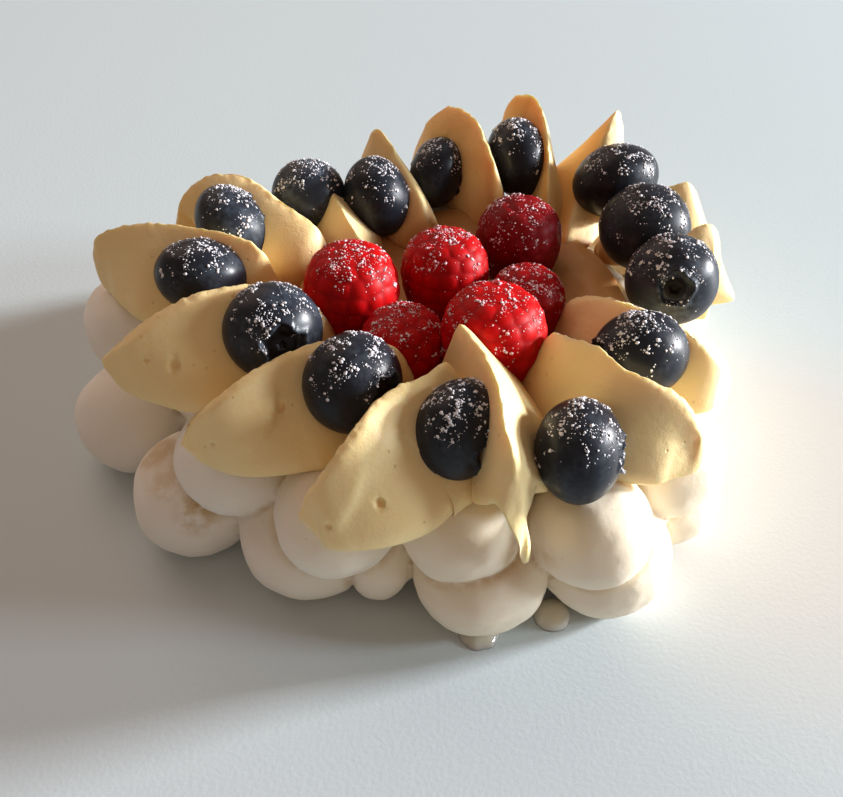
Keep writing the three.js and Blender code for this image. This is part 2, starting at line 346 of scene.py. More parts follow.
def creaseAt(point, blobs):  # 1 in the seam between two blobs, 0 out on a blob's own face
    reaches = []
    for (x, y, halfWidth), tier in blobs:
        way = Vector((point.x - x, point.y - y, point.z - tier["height"]))
        scaled = Vector((way.x / halfWidth, way.y / halfWidth, way.z / blobSpan(halfWidth, tier)))
        reaches.append((scaled.length - 1) * halfWidth)
    reaches.sort()
    return 1 - smooth(reaches[1], 0.2, meringueLook["crease"])


def buildMeringue():
    look = meringueLook
    blobs = [(place, look["lower"]) for place in lowerBlobs]
    blobs += [(place, look["upper"]) for place in upperBlobs]
    shapes = [blobShape(place, tier, i * 1.3) for i, (place, tier) in enumerate(blobs)]
    skin = fused(joinShapes([*shapes, coreShape()]), look["grain"])
    soften(skin, skin.verts, look["softPasses"])
    stains = []
    for vertex in skin.verts:
        point = vertex.co.copy()
        out = Vector((vertex.normal.x, vertex.normal.y, vertex.normal.z))
        crease = creaseAt(point, blobs)
        lump = look["lumps"] * ripple(point, 7.0) + look["fineLumps"] * ripple(point, 2.4, 5.0)
        vertex.co = point + out * (lump - look["seamDepth"] * crease ** 2)
        vertex.co.z = min(look["top"] + look["topSlack"], max(0.0, vertex.co.z))
        near = max(1 - smooth((point - Vector(place)).length, 0.4 * reach, reach)
                   for place, reach in look["stains"])
        # The mark holds painted shade along every seam (0.4 of the crease) and tan stain near the listed
        # spots, stronger in a seam.
        stains.append(mix(0.4 * crease, near * (0.6 + 0.4 * crease), near))
    piece = putPiece(skin, "meringue_shell", meringuePaint(), ["meringue"])
    markPoints(piece.data, "stainAndSeamShade", stains)
    print("meringue", len(piece.data.polygons), "faces")


petalLook = {
    "around": 96,
    "along": 96,
    "foot": 28.3,
    "free": 0.0,  # the share of the length that hangs free at the tip, as thick there as "thick" says
    "fall": 0.1,  # how soon behind the tip the petal stands on the meringue
    "blunt": 0.12,
    "endHeight": 2.0,
    "shoulder": 0.13,
    "hollow": 1.12,  # over 1 makes the flanks hollow
    "ridge": 0.5,  # how round the crest is
    "edge": (0.82, 0.18),  # the shares of a sharp and a round flank in its shape
    "strip": 0.2,
    "stripFall": 0.02,
    "lumps": 0.36,
    "ragged": 0.26,  # how far the thin crest wavers
    "foldDepth": 1.5,
    "crestSteps": 60,
    "places": (0, 0.08, 0.2, 0.35, 0.5, 0.7, 0.85, 1),  # where the flanks' widths are given
    "pitDepth": 0.9,
    "pitNet": 1.6,  # how far round a pit the net is made finer, for each unit of its radius
    "softHeight": 5.0,  # how far up the foot's edge is rounded
    "softPasses": 9,
    "paintedShadeFrom": 0.7,  # where painted shade starts to darken the inner end towards the filling
}
petals = [  # crest from the tip inwards; the flanks' widths; a shelf, hood or fold is on the left if positive
    {"crest": [(-69, 9, 34.3), (-67.4, 8.2, 38), (-64, 8.1, 40), (-56.6, 7.2, 41.8), (-49.1, 5.2, 42.6),
               (-42, 2.3, 43), (-36.6, 0, 42.2), (-32.2, -1.8, 38)],
     "left": (2, 3, 5, 6, 6.5, 6, 4.5, 3), "right": (0.5, 1.8, 6.8, 11.4, 11.8, 10.5, 8, 5),
     "round": 0.07},
    {"crest": [(-61.2, -19.7, 32.5), (-56.2, -19.1, 37), (-51.8, -17.6, 40), (-46.8, -15.3, 41.7),
               (-41.4, -13, 42.3), (-34.3, -11.2, 42), (-28.5, -10.8, 40.4), (-24.8, -12.2, 37.8),
               (-23, -14.4, 33.5)],
     "left": (1, 3, 4.5, 5, 5, 5, 4, 3), "right": (1, 2.6, 7.8, 14, 13.8, 11, 8.5, 5), "round": 0.06,
     "ridge": 0.2, "hollow": 0.95, "shelf": -2.4,
     "pits": [(-47, -23.7, 35.5, 1.1), (-52.1, -22.9, 35.2, 0.6), (-37.9, -14.2, 42, 0.5)]},
    {"crest": [(-43.7, -39.5, 32.6), (-41.6, -37.6, 37), (-36.1, -36, 41.3), (-29.9, -30.7, 42.7),
               (-21.8, -25.8, 42), (-14.7, -23.3, 40.2), (-10.3, -23.8, 38), (-8.1, -25, 35)],
     "left": (1, 2.5, 4, 5, 5, 5, 4, 3), "right": (0.5, 1.2, 4.2, 10.6, 12.8, 11.5, 9.5, 6),
     "round": 0.06, "ridge": 0.25, "hollow": 0.95, "shelf": -1.4, "fold": (-1, 0.22, 0.5),
     "pits": [(-28.3, -36.5, 37.7, 0.9), (-39, -39.6, 33.5, 0.5)]},
    {"crest": [(-24.5, -52.5, 31), (-23.2, -51.4, 35.7), (-20.7, -50.3, 39.9), (-18.1, -48, 42.5),
               (-15.7, -44.9, 43.8), (-13.5, -41, 44.1), (-10.1, -37.7, 43.8), (-6.2, -34.9, 43.7),
               (-3.9, -32.5, 44), (-2.2, -31, 41.2)],
     "left": (0.8, 2, 3, 4, 4, 4, 3.5, 2), "right": (1.6, 3, 5.2, 9.9, 13.6, 14.2, 13.2, 9),
     "round": 0.05, "blunt": 0.06, "ridge": 0.3, "hollow": 0.92, "shelf": -1, "fold": (-1, 0.17, 0.5),
     "pits": [(-13.1, -52.2, 35, 0.85), (-22.2, -52.5, 30.1, 0.5), (-20, -53.3, 32.2, 0.5)], "ragged": 0.35},
    {"crest": [(8.5, -53.8, 25), (8, -53, 29.4), (6.8, -52.4, 35.6), (5.7, -50.9, 41.3), (4.3, -47.2, 45.1),
               (2.8, -36.8, 46.5), (-2, -23.1, 44.6)],
     "left": (0.2, 1.2, 2.3, 3, 4.2, 5, 5, 5), "right": (0.2, 1.2, 2.6, 4.6, 8, 10.4, 10.8, 11),
     "round": 0.06, "blunt": 0.05, "free": 0.26, "fall": 0.52, "thick": 4},
    {"crest": [(36.3, -38.2, 31), (34.9, -38.3, 35.5), (32, -37, 40), (27.1, -35.4, 42.5),
               (22.8, -32.8, 43), (19.7, -28.2, 43), (16, -24.7, 42), (13.8, -21.8, 40.3),
               (12.3, -19.5, 37)],
     "left": (1, 2.4, 5.4, 8, 9, 8.5, 7.5, 6), "right": (2.5, 4, 5, 5.5, 5.5, 5, 4, 3), "round": 0.1,
     "shelf": 0.8, "fold": (1, 0.12, 0.1)},
    {"crest": [(42.3, -24, 31), (41.5, -23.7, 35), (37.9, -23.4, 39.4), (32.4, -19.7, 41.6),
               (26.4, -14.5, 41), (22.6, -9.6, 38.2), (19.7, -6.6, 35.2), (18.2, -4.3, 31.5)],
     "left": (0.8, 2, 4.6, 7.4, 8, 7, 5.5, 4), "right": (2, 4, 5.5, 6, 6, 5, 4, 3), "round": 0.1,
     "lumps": 0.8, "shelf": 0.9},
    {"crest": [(47.6, 1, 28), (47.4, 1.6, 33), (46.6, 2.6, 38.5), (45.2, 3.4, 43), (43.2, 3.3, 44.3),
               (40.6, 2.4, 43.6), (38, 3.4, 40), (35, 5.4, 35)],
     "left": (4, 6.6, 8.4, 8.6, 7.5, 6, 4, 3), "right": (2.5, 4, 5, 5, 5, 4, 3, 3), "round": 0.1,
     "fall": 0.15, "ridge": 1, "hood": 0.6},
    {"crest": [(46.6, 18.6, 31), (46.2, 18.4, 35.5), (45.2, 17.8, 40.5), (43.4, 17.2, 43.8),
               (41.2, 16.8, 44.4), (38.6, 17, 43.4), (35, 17.4, 41), (31, 16.8, 38.4), (27, 15.4, 34)],
     "left": (3, 5, 6.4, 6.8, 6.4, 5, 4, 3), "right": (2, 3.4, 4.6, 5, 5, 4, 3, 3), "round": 0.12,
     "fall": 0.15, "ridge": 1, "hood": 0.6},
    {"crest": [(36, 43.2, 36), (34.5, 41.2, 42), (32.9, 39, 47), (31.6, 37.3, 48.1), (30.2, 35.4, 45.5),
               (28.9, 33.5, 42), (27, 30.6, 38), (24, 24.9, 34), (20.9, 16.1, 31)],
     "left": (1, 1.5, 3, 5, 6, 6, 5, 4), "right": (1.5, 3, 7, 12, 13, 10, 7, 5), "round": 0.16, "paintedBacklight": 1.4,
     "softHeight": 14, "softPasses": 60},
    {"crest": [(11, 50.4, 38), (11.2, 49.4, 43), (12.4, 47.4, 46.6), (14.6, 45.4, 47.9),
               (16.2, 43.9, 47.8), (17.6, 39.8, 46.2), (18.1, 32.7, 43.4), (18, 26.3, 40), (17.6, 21, 36)],
     "left": (0.8, 1.6, 2.8, 3.6, 4.2, 4.6, 4, 3), "right": (1.5, 3, 5, 6.6, 5.2, 3.2, 3, 3), "round": 0.2,
     "ridge": 0.8, "hood": -0.3, "paintedBacklight": 1, "softHeight": 14, "softPasses": 60},
    {"crest": [(-3.4, 49, 37), (-3, 46.4, 42.5), (-2.2, 44, 45.8), (-0.8, 42.3, 46.9), (1.8, 40.2, 47),
               (4.1, 36.5, 46.3), (5.7, 30.8, 44.5), (7.6, 26.4, 41.5), (10.2, 24.9, 37)],
     "left": (2, 3, 5, 6, 5.5, 5, 4, 3), "right": (1.8, 3.8, 7.6, 9.6, 8.2, 5.4, 4.2, 3.4),
     "round": 0.2, "ridge": 3, "hood": -0.7, "paintedBacklight": 0.9, "softHeight": 14, "softPasses": 60},
    {"crest": [(-19, 43, 35), (-18, 40.4, 40.5), (-17.1, 38.8, 43.3), (-16, 38, 44.3),
               (-14.4, 35.8, 43.5), (-12.5, 32.9, 42.2), (-10.5, 29.6, 41), (-8.5, 25, 39.6),
               (-6.7, 20.8, 37.6), (-5.5, 18.5, 34)],
     "left": (1, 2, 4, 5, 5, 5, 4, 3), "right": (1.5, 2.5, 5, 6.5, 7, 7, 6, 4), "round": 0.16,
     "hood": -0.2, "paintedBacklight": 0.35, "softHeight": 14, "softPasses": 60},
    {"crest": [(-36, 41, 31), (-32.4, 36, 35), (-28.6, 29.9, 37.8), (-25.2, 23.3, 39), (-22.8, 17.5, 39),
               (-20.6, 13, 37.8), (-18, 9.6, 35), (-15.6, 8, 32)],
     "left": (2, 4, 7.4, 9.4, 9.4, 8, 6, 4), "right": (2, 3, 5, 6, 6, 6, 4.5, 3), "round": 0.08,
     "softHeight": 7, "softPasses": 40},
    {"crest": [(-54.6, 18, 34.5), (-54, 19.4, 38), (-52.2, 20.6, 40.4), (-49.1, 21.5, 42.6),
               (-45.8, 21.8, 43.5), (-42.5, 21.4, 43.6), (-39.3, 20, 43), (-35.4, 16.6, 42),
               (-31.2, 13.8, 40.6), (-27.1, 11.6, 38.4), (-24.6, 10.6, 35)],
     "left": (1.2, 2.6, 5, 7, 7, 6.5, 5, 3.5), "right": (4, 6, 8, 9.5, 10.5, 10, 8, 5), "round": 0.12,
     "ridge": 2.5, "hood": -0.6},
]
bedLook = {
    "net": (96, 96),
    "paintedShade": 0.8,
    "radius": 30.2,
    "low": 22.5,
    "high": 28.1,
    "rise": 2.2,
    "lumps": 1.1,
    "fineLumps": 0.3,
}


def creamPaint():
    paint = Paint("cream")
    fine = paint.noise(0.35, 4.0)
    soft = paint.noise(5.0, 2.0)
    bubbles = paint.step(paint.cells(3.2), 0.1, 0.04)
    plain = paint.blend(soft, colour(0.94, 0.72, 0.34), colour(0.95, 0.75, 0.40))
    # Painted backlight: the shaded faces of the thin petals tinted orange, as if lit through.
    backlitTint = paint.blend(paint.marks("paintedBacklight"), plain, colour(0.97, 0.53, 0.14))
    # Painted shade: browner towards the filling and over the whole filling.
    shaded = paint.blend(paint.marks("paintedShade"), backlitTint, colour(0.55, 0.24, 0.06))
    grain = fine * 0.5 + paint.noise(1.6, 3.0) * 1.1 + paint.noise(4.5, 2.0) * 1.6 - bubbles * 2.5
    paint.set(
        base_color=paint.blend(bubbles * 0.5, shaded, colour(0.75, 0.52, 0.22)),
        roughness=0.5,
        ior_level=0.4,
        subsurface_weight=0.3,
        subsurface_radius=(1.0, 0.6, 0.25),
        subsurface_scale=2.2 * mm,
        normal=paint.bump(grain, 0.4, 0.25),
    )
    return paint.material


def dome(share):  # from 0 up to 1 along a quarter of a circle
    return power(1 - (1 - min(1.0, share)) ** 2, 0.5)


def evenly(points, count):  # the curve through the points, cut into equal lengths
    cuts = 800
    fine = [curvePoint(points, i / cuts) for i in range(cuts + 1)]
    lengths = [0.0]
    for before, after in zip(fine, fine[1:]):
        lengths.append(lengths[-1] + (after - before).length)
    spaced, i = [], 0
    for k in range(count + 1):
        reach = lengths[-1] * k / count
        while i < len(fine) - 2 and lengths[i + 1] < reach:
            i += 1
        spaced.append(fine[i].lerp(fine[i + 1], (reach - lengths[i]) / (lengths[i + 1] - lengths[i])))
    return spaced


def widthAt(widths, t):
    places = petalLook["places"]
    last = len(places) - 1
    i = min(last - 1, sum(t > place for place in places[1:]))
    gap = places[i + 1] - places[i]
    s = (t - places[i]) / gap

    def slope(j):
        low, high = max(0, j - 1), min(last, j + 1)
        return gap * (widths[high] - widths[low]) / (places[high] - places[low])
    return max(0.0, (2 * s ** 3 - 3 * s ** 2 + 1) * widths[i] + (s ** 3 - 2 * s ** 2 + s) * slope(i)
               + (3 * s ** 2 - 2 * s ** 3) * widths[i + 1] + (s ** 3 - s ** 2) * slope(i + 1))


def sink(shape, pits, depth, net):  # small round holes in a surface, towards the shape's middle
    middle = sum((vertex.co for vertex in shape.verts), Vector()) / len(shape.verts)
    for *place, radius in pits:
        centre = min(shape.verts, key=lambda vertex: (vertex.co - Vector(place)).length).co.copy()
        near = [edge for edge in shape.edges
                if all((vertex.co - centre).length < net * radius for vertex in edge.verts)]
        bmesh.ops.subdivide_edges(shape, edges=near, cuts=2, use_grid_fill=True)
        inwards = (middle - centre).normalized() * depth * radius
        for vertex in shape.verts:
            distance = (vertex.co - centre).length / radius
            if distance < 1:
                vertex.co += inwards * dome(1 - distance)


def petalShape(petal, seed):
    look = petalLook | petal
    crest = evenly([Vector(point) for point in look["crest"]], look["crestSteps"])
    ridge, paintedBacklights, paintedShades = look["ridge"], [], []

    def onSide(name, side):  # how much of it there is on this side
        return abs(look.get(name, 0)) if look.get(name, 0) * side > 0 else 0

    def eased(distance):
        return (distance + math.hypot(distance, ridge)) / 2

    def at(t, side, up, angle):
        top = curvePoint(crest, t)
        run = curvePoint(crest, min(1.0, t + 0.01)) - curvePoint(crest, max(0.0, t - 0.01))
        across = Vector((-run.y, run.x, 0)).normalized()
        rounding = dome((1 - t) / look["blunt"])
        width = widthAt(look["left"] if side > 0 else look["right"], t) * dome(t / look["round"]) * rounding
        start = top.z - look["thick"] if "thick" in look else crest[0].z
        foot = mix(start, look["foot"], smooth(t, look["free"], look["fall"]))
        height = mix(look["endHeight"], top.z - foot, rounding)
        share = abs(side) ** 1.5 if up > 0 else abs(side)
        strip = min(max(look["strip"], onSide("shelf", side)), 0.4 * width)
        unbent = eased(-strip)
        bent = (eased(share * width - strip) - unbent) / (eased(width - strip) - unbent + 1e-6)
        rounded = power(1 - bent * bent, 0.5)
        edge = look["edge"][0] * power(1 - bent, look["hollow"]) + look["edge"][1] * rounded
        edge = mix(edge, rounded, onSide("hood", side))
        level = mix(look["shoulder"], 1, edge) if up > -0.01 else 0
        # Painted backlight on the shaded side, stronger towards the crest.
        paintedBacklights.append(look.get("paintedBacklight", 0) * smooth(-side, 0.0, 0.3) * (0.15 + 0.85 * level ** 2))
        # Painted shade towards the inner end, most low down near the filling.
        paintedShades.append(smooth(t, look["paintedShadeFrom"], 1) * (1 - level ** 2))
        aside = share * width
        fallen = look["stripFall"] * min(aside, strip)
        point = Vector((top.x, top.y, foot + height * level - fallen * level))
        point += across * math.copysign(aside, side)
        body = smooth(t, 0, 0.08) * (1 - smooth(t, 0.94, 1)) * level
        thin = (1 - smooth(aside, 0.0, 1.6)) * body
        point.z += look["ragged"] * thin * (ripple(point, 1.3, seed) + 0.6 * ripple(point, 0.6, seed))
        point += across * look["ragged"] * thin * ripple(point, 1.6, seed + 7)
        drop = look["lumps"] * ripple(point, 8.0, seed) * body
        if "fold" in look and look["fold"][0] * side > 0:
            past = t - mix(look["fold"][2], look["fold"][1], share)
            crease = smooth(past, -0.01, 0.01) * (1 - smooth(past, 0.06, 0.35))
            drop -= look["foldDepth"] * crease * smooth(share, 0.2, 0.6) * body
        return point + (across * math.copysign(0.7, side) + Vector((0, 0, 0.7))) * drop

    shape = wrapped(look["around"], look["along"], at)
    markLayer(shape, "paintedBacklight", paintedBacklights)
    markLayer(shape, "paintedShade", paintedShades)
    low = [vertex for vertex in shape.verts if vertex.co.z < look["foot"] + look["softHeight"]]
    soften(shape, low, look["softPasses"])
    sink(shape, look.get("pits", []), look["pitDepth"], look["pitNet"])
    return shape


def buildPetals(paint):
    for i, petal in enumerate(petals):
        name = f"{i + 1:02d}"
        putPiece(petalShape(petal, i * 2.1), f"piped_petal_{name}", paint, [f"cream_petal_{name}"])
    print("petals", len(petals))


def buildBed(paint):
    look = bedLook

    def at(t, side, up, angle):
        depth = math.sin(math.pi * t) ** 0.5
        reach = look["radius"] * depth
        place = Vector((side * reach, up * reach, look["high"] if t < 0.5 else look["low"]))
        if t < 0.5:
            place.z += look["rise"] * smooth(depth, 0.6, 0.95) + look["lumps"] * ripple(place, 7.0, 2.0)
            place.z += look["fineLumps"] * ripple(place, 2.5, 4.0)
        return place
    shape = wrapped(*look["net"], at)
    # The whole filling gets painted shade, brown-orange between the petals.
    markLayer(shape, "paintedShade", [look["paintedShade"]] * len(shape.verts))
    putPiece(shape, "cream_filling", paint, ["cream_bed"])
    print("cream bed")


blueberryLook = {
    "around": 72,
    "along": 60,
    "polePower": 1.5,  # over 1 crowds the points towards the crown
    "rim": 0.34,  # the crown's half width, for each unit of the berry's
    "depth": 1.5,
    "lip": 0.5,
    "star": 0.13,  # how far the crown's five points stand out, and how ragged they are
    "dents": 0.02,
    "bloom": 0.3,  # how much of the pale bloom is left on it
}
blueberries = [
    {"at": (-42.8, 13.6, 37), "width": 16.6, "length": 0.78, "crown": (0.8, 0.3, 0.5), "bloom": 0.5},
    {"at": (-46.2, -2, 37), "width": 16.6, "length": 0.8, "crown": (-0.1, -0.66, -0.75)},
    {"at": (-31.9, -17.3, 36.9), "width": 16.7, "length": 0.9, "crown": (0.38, -0.89, 0.26), "rim": 0.46,
     "bloom": 0.5},
    {"at": (-17.8, -31, 38), "width": 16.2, "length": 0.92, "crown": (0.8, -0.6, 0.2), "rim": 0.42},
    {"at": (-1.6, -40.4, 37.2), "width": 16.2, "length": 0.8, "crown": (0.78, -0.62, 0), "rim": 0.45},
    {"at": (15.8, -43.9, 36.6), "width": 15.7, "length": 0.83, "crown": (0.95, -0.25, 0.15)},
    {"at": (27.9, -24, 38), "width": 13.8, "length": 1.13, "crown": (-0.95, -0.2, 0.15)},
    {"at": (36.6, -4.5, 38), "width": 16.1, "length": 0.92, "crown": (-0.16, -0.9, 0.4), "rim": 0.36,
     "open": 1, "bloom": 0.55},
    {"at": (34.6, 11.7, 38), "width": 17, "length": 0.86, "crown": (0.2, 0.4, -0.9)},
    {"at": (31.5, 28, 38.2), "width": 17.2, "length": 0.82, "crown": (0.3, -0.6, -0.7)},
    {"at": (12.8, 36.8, 38), "width": 16.6, "length": 0.77, "crown": (0.95, 0.18, 0.2)},
    {"at": (-4, 34, 36.4), "width": 14.6, "length": 0.76, "crown": (0.95, -0.2, -0.2)},
    {"at": (-15.9, 25.2, 36.2), "width": 16, "length": 0.81, "crown": (-0.94, -0.2, -0.3)},
    {"at": (-29.6, 25.6, 36.1), "width": 14.8, "length": 0.94, "crown": (-0.4, 0.5, -0.7), "bloom": 0.95},
]


def blueberryPaint():
    paint = Paint("blueberry_skin")
    bloom = paint.step(paint.noise(4.2, 4.0), 0.40, 0.68)
    rubbed = paint.step(paint.noise(0.9, 4.0), 0.34, 0.62)
    skin = paint.blend(paint.noise(9.0, 2.0), colour(0.006, 0.009, 0.014), colour(0.012, 0.009, 0.012))
    dusty = paint.blend((0.35 + bloom * rubbed) * paint.marks("bloom"), skin, colour(0.066, 0.088, 0.120))
    inside = paint.marks("inside")
    paint.set(
        base_color=paint.blend(inside, dusty, colour(0.004, 0.003, 0.004)),
        roughness=0.3 + bloom * 0.18 + inside * 0.3,
        ior_level=0.2,
        normal=paint.bump(paint.noise(0.5, 3.0) + inside * paint.noise(0.3, 2.0) * 2, 0.12, 0.1),
    )
    return paint.material


def turnedTo(axis):
    return Vector((0, 0, 1)).rotation_difference(Vector(axis).normalized()).to_matrix()


def blueberryShape(berry, seed):
    look = blueberryLook
    radius = berry["width"] / 2
    turn = turnedTo(berry["crown"])
    rim, isOpen = berry.get("rim", look["rim"]), berry.get("open", 0)
    inside = []

    def at(t, side, up, angle):
        polar = math.pi * t ** look["polePower"]
        reach = math.sin(polar)
        ragged = ripple((side * 2, up * 2, seed), 0.5) + 0.8 * ripple((side * 5, up * 5, seed), 0.6)
        star = 1 + (look["star"] - 0.05 * isOpen) * math.cos(5 * angle + seed)
        star += (look["star"] - 0.07 * isOpen) * ragged
        fromRim = (polar / rim) / star
        rise = radius * berry["length"] * math.cos(polar)
        lip = (look["lip"] + 0.3 * isOpen) * math.exp(-((fromRim - 1.03) / 0.13) ** 2) * (0.7 + 0.7 * ragged)
        if isOpen:  # a shallow dish with a dot in the middle
            sunk = 0.7 * (1 - smooth(fromRim, 0.82, 1.0)) + 0.7 * (1 - smooth(fromRim, 0.22, 0.36))
        else:
            sunk = look["depth"] * (1 - smooth(fromRim, 0.74, 0.98)) + 0.4 * (1 - smooth(fromRim, 0.1, 0.22))
        point = Vector((side * reach * radius, up * reach * radius, rise + lip - sunk))
        point *= 1 + look["dents"] * ripple(point, 6.0, seed)
        return turn @ point + Vector(berry["at"])

    shape = wrapped(look["around"], look["along"], at)
    axis = turn @ Vector((0, 0, 1))
    dark = 0.84 if isOpen else 1.0
    for vertex in shape.verts:
        away = (vertex.co - Vector(berry["at"])).normalized().angle(axis) / (rim * dark)
        inside.append(1 - smooth(away, 0.8, 1.02))
    return shape, inside


def buildBlueberries():
    paint, look = blueberryPaint(), blueberryLook
    pieces = []
    for i, berry in enumerate(blueberries):
        name = f"{i + 1:02d}"
        shape, inside = blueberryShape(berry, i * 1.7)
        piece = putPiece(shape, f"fresh_blueberry_{name}", paint, [f"blueberry_{name}"])
        markPoints(piece.data, "inside", inside)
        markPoints(piece.data, "bloom", [berry.get("bloom", look["bloom"])] * len(inside))
        pieces.append(piece)
    print("blueberries", len(pieces))
    return pieces


raspberryLook = {
    "around": 116,
    "along": 84,
    "height": 1.02,
    "widestPower": 0.92,
    "fullness": 0.72,
    "drupelet": 1.7,  # its half width
    "ringGap": 1.66,  # from one ring of drupelets to the next, in half widths
    "besideGap": 1.12,  # from one drupelet to the next in a ring, in ring gaps
    "rise": 0.27,
}
# dark: painted shade on the raspberries that lie in the shadow of the berries and petals beside them.
raspberries = [
    {"foot": (-20, -3.2, 25.4), "width": 17.6, "lean": (0.04, -0.06), "dark": 0.0},
    {"foot": (-3.1, 2, 25.2), "width": 16.6, "lean": (0.02, 0.05), "dark": 0.1},
    {"foot": (10.8, 12.8, 25), "width": 16.8, "lean": (0.06, 0.04), "dark": 0.8},
    {"foot": (11.2, -4, 24), "width": 14.6, "lean": (0.05, 0), "dark": 0.5},
    {"foot": (3.4, -18.6, 26.4), "width": 18.2, "lean": (0.12, 0.06), "dark": 0.0},
    {"foot": (-9.9, -16.4, 24.8), "width": 15.2, "lean": (-0.04, -0.08), "dark": 0.1},
]


def raspberryPaint():
    paint = Paint("raspberry_flesh")
    dark = paint.marks("dark")
    bright = paint.blend(paint.noise(3.0, 2.0), colour(0.62, 0.002, 0.003), colour(0.44, 0.001, 0.003))
    # Painted shade: a deeper red on raspberries marked dark.
    paintedShade = paint.blend(dark, bright, colour(0.16, 0.002, 0.006))
    paint.set(
        base_color=paint.blend(paint.marks("seam") * 0.3, paintedShade, colour(0.16, 0.001, 0.003)),
        roughness=0.5,
        ior_level=0.15,
        subsurface_weight=0.5,
        subsurface_radius=(1.0, 0.05, 0.03),
        subsurface_scale=1.5 * mm,
        normal=paint.bump(paint.noise(0.5, 3.0), 0.2, 0.12),
    )
    return paint.material


def drupeletCentres(berry, surface, seed):  # staggered rings of drupelets from the top to the foot
    rng = random.Random(seed)
    look = raspberryLook
    height = look["height"] * berry["width"]
    centres = []
    step = look["ringGap"] * look["drupelet"]
    rings = max(4, round(height * 1.25 / step))
    for k in range(rings + 1):
        t = 0.02 + 0.9 * k / rings
        waist = surface(t, 1, 0, 0).x
        count = max(1, round(2 * math.pi * waist / (step * look["besideGap"])))
        for j in range(count):
            angle = 2 * math.pi * (j + 0.5 * (k % 2) + rng.uniform(-0.12, 0.12)) / count
            centres.append(surface(t + rng.uniform(-0.012, 0.012), math.cos(angle), math.sin(angle), angle))
    return centres


def raspberryShape(berry, seed):
    look = raspberryLook
    height = look["height"] * berry["width"]

    def bare(t, side, up, angle):
        waist = (berry["width"] / 2 - look["rise"] * 0.75) * power(
            math.sin(math.pi * min(1.0, t) ** look["widestPower"]), look["fullness"])
        return Vector((side * waist, up * waist, height * (0.5 + 0.5 * math.cos(math.pi * t))))

    centres = drupeletCentres(berry, bare, seed)
    tree = kdtree.KDTree(len(centres))
    for i, centre in enumerate(centres):
        tree.insert(centre, i)
    tree.balance()
    middle = Vector((0, 0, height / 2))
    lean = Euler((-berry["lean"][1], berry["lean"][0], 0)).to_matrix()
    seams = []

    def at(t, side, up, angle):
        point = bare(t, side, up, angle)
        near = tree.find_n(point, 2)
        distance = near[0][2] / look["drupelet"]
        uneven = 0.9 + 0.4 * ripple((near[0][1], seed, 0), 1.7)  # each drupelet stands out its own way
        rise = look["rise"] * power(1 - min(1.0, distance) ** 2, 0.8) * uneven
        out = (point - middle).normalized()
        return lean @ (point + out * (rise - 0.2)) + Vector(berry["foot"])

    shape = wrapped(look["around"], look["along"], at)
    back = lean.inverted()
    for vertex in shape.verts:
        local = back @ (vertex.co - Vector(berry["foot"]))
        near = tree.find_n(local, 2)
        seams.append(1 - smooth(near[1][2] - near[0][2], 0.1, 1.2))
    return shape, seams


def buildRaspberries():
    paint = raspberryPaint()
    pieces = []
    for i, berry in enumerate(raspberries):
        name = f"{i + 1:02d}"
        shape, seams = raspberryShape(berry, i + 11)
        piece = putPiece(shape, f"fresh_raspberry_{name}", paint, [f"raspberry_{name}"])
        markPoints(piece.data, "seam", seams)
        # how much painted shade this raspberry gets
        markPoints(piece.data, "dark", [berry["dark"]] * len(piece.data.vertices))
        pieces.append(piece)
    print("raspberries", len(pieces))
    return pieces


beadLook = {"net": (48, 32), "uneven": 0.06}
beads = [
    {"at": (2.4, -51.4), "halfWidth": 3.5, "rise": 0.45},
    {"at": (14.9, -48.2), "halfWidth": 3.2, "rise": 0.68},
]


def syrupPaint():
    paint = Paint("syrup")
    paint.set(
        base_color=paint.blend(paint.noise(2.0, 2.0), colour(0.70, 0.66, 0.52), colour(0.78, 0.74, 0.60)),
        roughness=0.1,
        subsurface_weight=0.8,
        subsurface_radius=(1.0, 0.9, 0.6),
        subsurface_scale=4 * mm,
        coat_weight=0.6,
        normal=paint.bump(paint.noise(1.5, 2.0), 0.1, 0.2),
    )
    return paint.material


def buildBeads():
    paint = syrupPaint()
    for i, bead in enumerate(beads):
        def at(t, side, up, angle):
            uneven = 1 + beadLook["uneven"] * ripple((side * 2, up * 2, i), 1.0)
            waist = bead["halfWidth"] * math.sin(math.pi * t) * uneven
            height = bead["rise"] * bead["halfWidth"] * max(0.0, math.cos(math.pi * t))
            return Vector((bead["at"][0] + side * waist, bead["at"][1] + up * waist, height))
        name = f"{i + 1:02d}"
        shape = wrapped(*beadLook["net"], at)
        putPiece(shape, f"syrup_drop_{name}", paint, [f"syrup_bead_{name}"])
    print("syrup beads", len(beads))


sugarLook = {  # crumb half widths in mm; clumps and lone crumbs on each berry
    "crumb": (0.07, 0.32),
    "aloneLargest": 0.4,  # how far up that range the lone crumbs go
    "smallness": 2.8,  # over 1 makes most crumbs small
    "kinds": 7,
    "clumpSpread": 0.42,
    "sugar_on_blueberries": {"clumps": 52, "crumbs": (4, 13), "alone": 110, "high": 2.2},
    "sugar_on_raspberries": {"clumps": 60, "crumbs": (3, 9), "alone": 190, "high": 1.4},
}


def sugarPaint(name, damp):  # damp sugar takes on the colour under it
    paint = Paint(name)
    mixed = paint.blend(paint.noise(0.9, 2.0), colour(0.84, 0.84, 0.88), colour(*damp))
    paint.set(base_color=mixed, roughness=0.7)
    return paint.material


def crumbKinds():  # a few uneven crumbs of unit size
    rng = random.Random(5)
    kinds = []
    for _ in range(sugarLook["kinds"]):
        crumb = bmesh.new()
        bmesh.ops.create_icosphere(crumb, subdivisions=1, radius=1)
        stretch = Vector((rng.uniform(0.8, 1.5), rng.uniform(0.7, 1.1), rng.uniform(0.5, 0.8)))
        corners = [vertex.co * rng.uniform(0.6, 1.2) * stretch for vertex in crumb.verts]
        kinds.append((corners, [[vertex.index for vertex in face.verts] for face in crumb.faces]))
        crumb.free()
    return kinds


